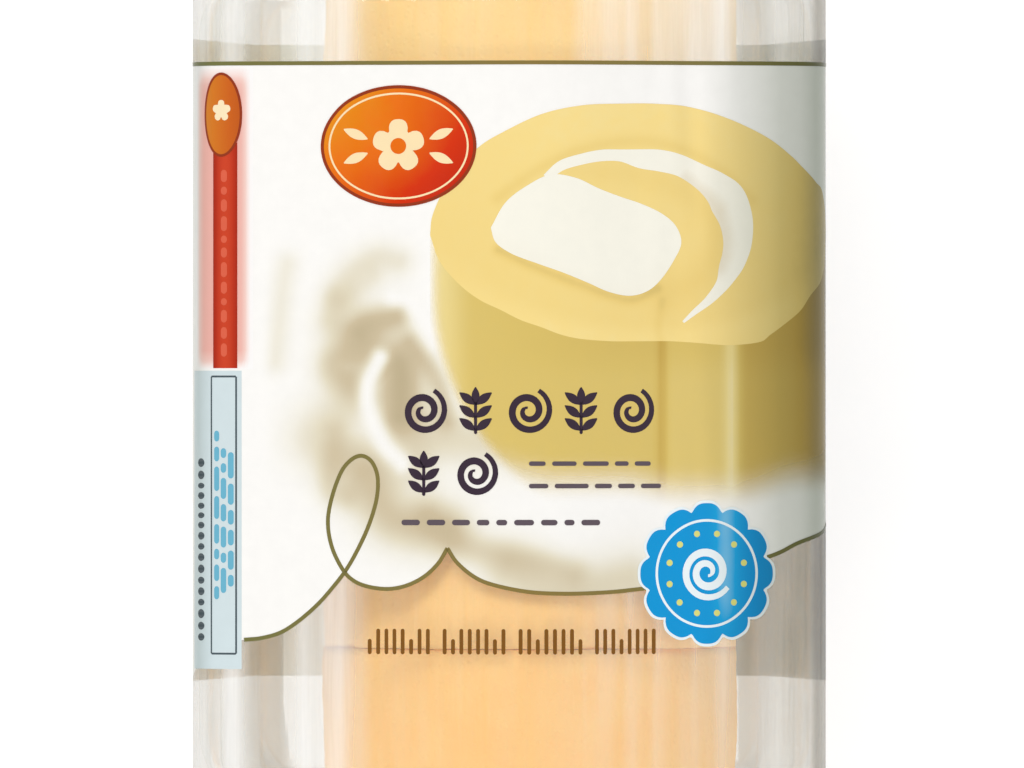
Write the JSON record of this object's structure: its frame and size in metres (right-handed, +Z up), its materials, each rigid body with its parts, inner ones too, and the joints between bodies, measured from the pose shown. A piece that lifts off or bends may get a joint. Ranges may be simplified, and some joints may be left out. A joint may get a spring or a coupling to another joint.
{
  "type": "film-wrapped swiss roll pack",
  "caption": "Pre-cut swiss roll with cream in a clear tray, sealed in printed flow-wrap film with crimped zigzag fins and tucked ends, lying on its flat base.",
  "frame": {"origin": "centre of the base, on the surface that the pack rests on", "axes": "+Z up through the printed front, +Y along the roll towards the top of the print, +X across the pack"},
  "size_m": [0.1, 0.168, 0.072],
  "materials": {
    "film": "clear glossy film, slightly milky",
    "white_print": "white ink under glossy film",
    "colour_print": "coloured ink under glossy film",
    "tray": "clear thin formed plastic",
    "sponge": "soft open-pored sponge cake",
    "cream": "smooth whipped cream"
  },
  "bodies": {
    "root": {"film_pack": "film"}
  },
  "joints": []
}
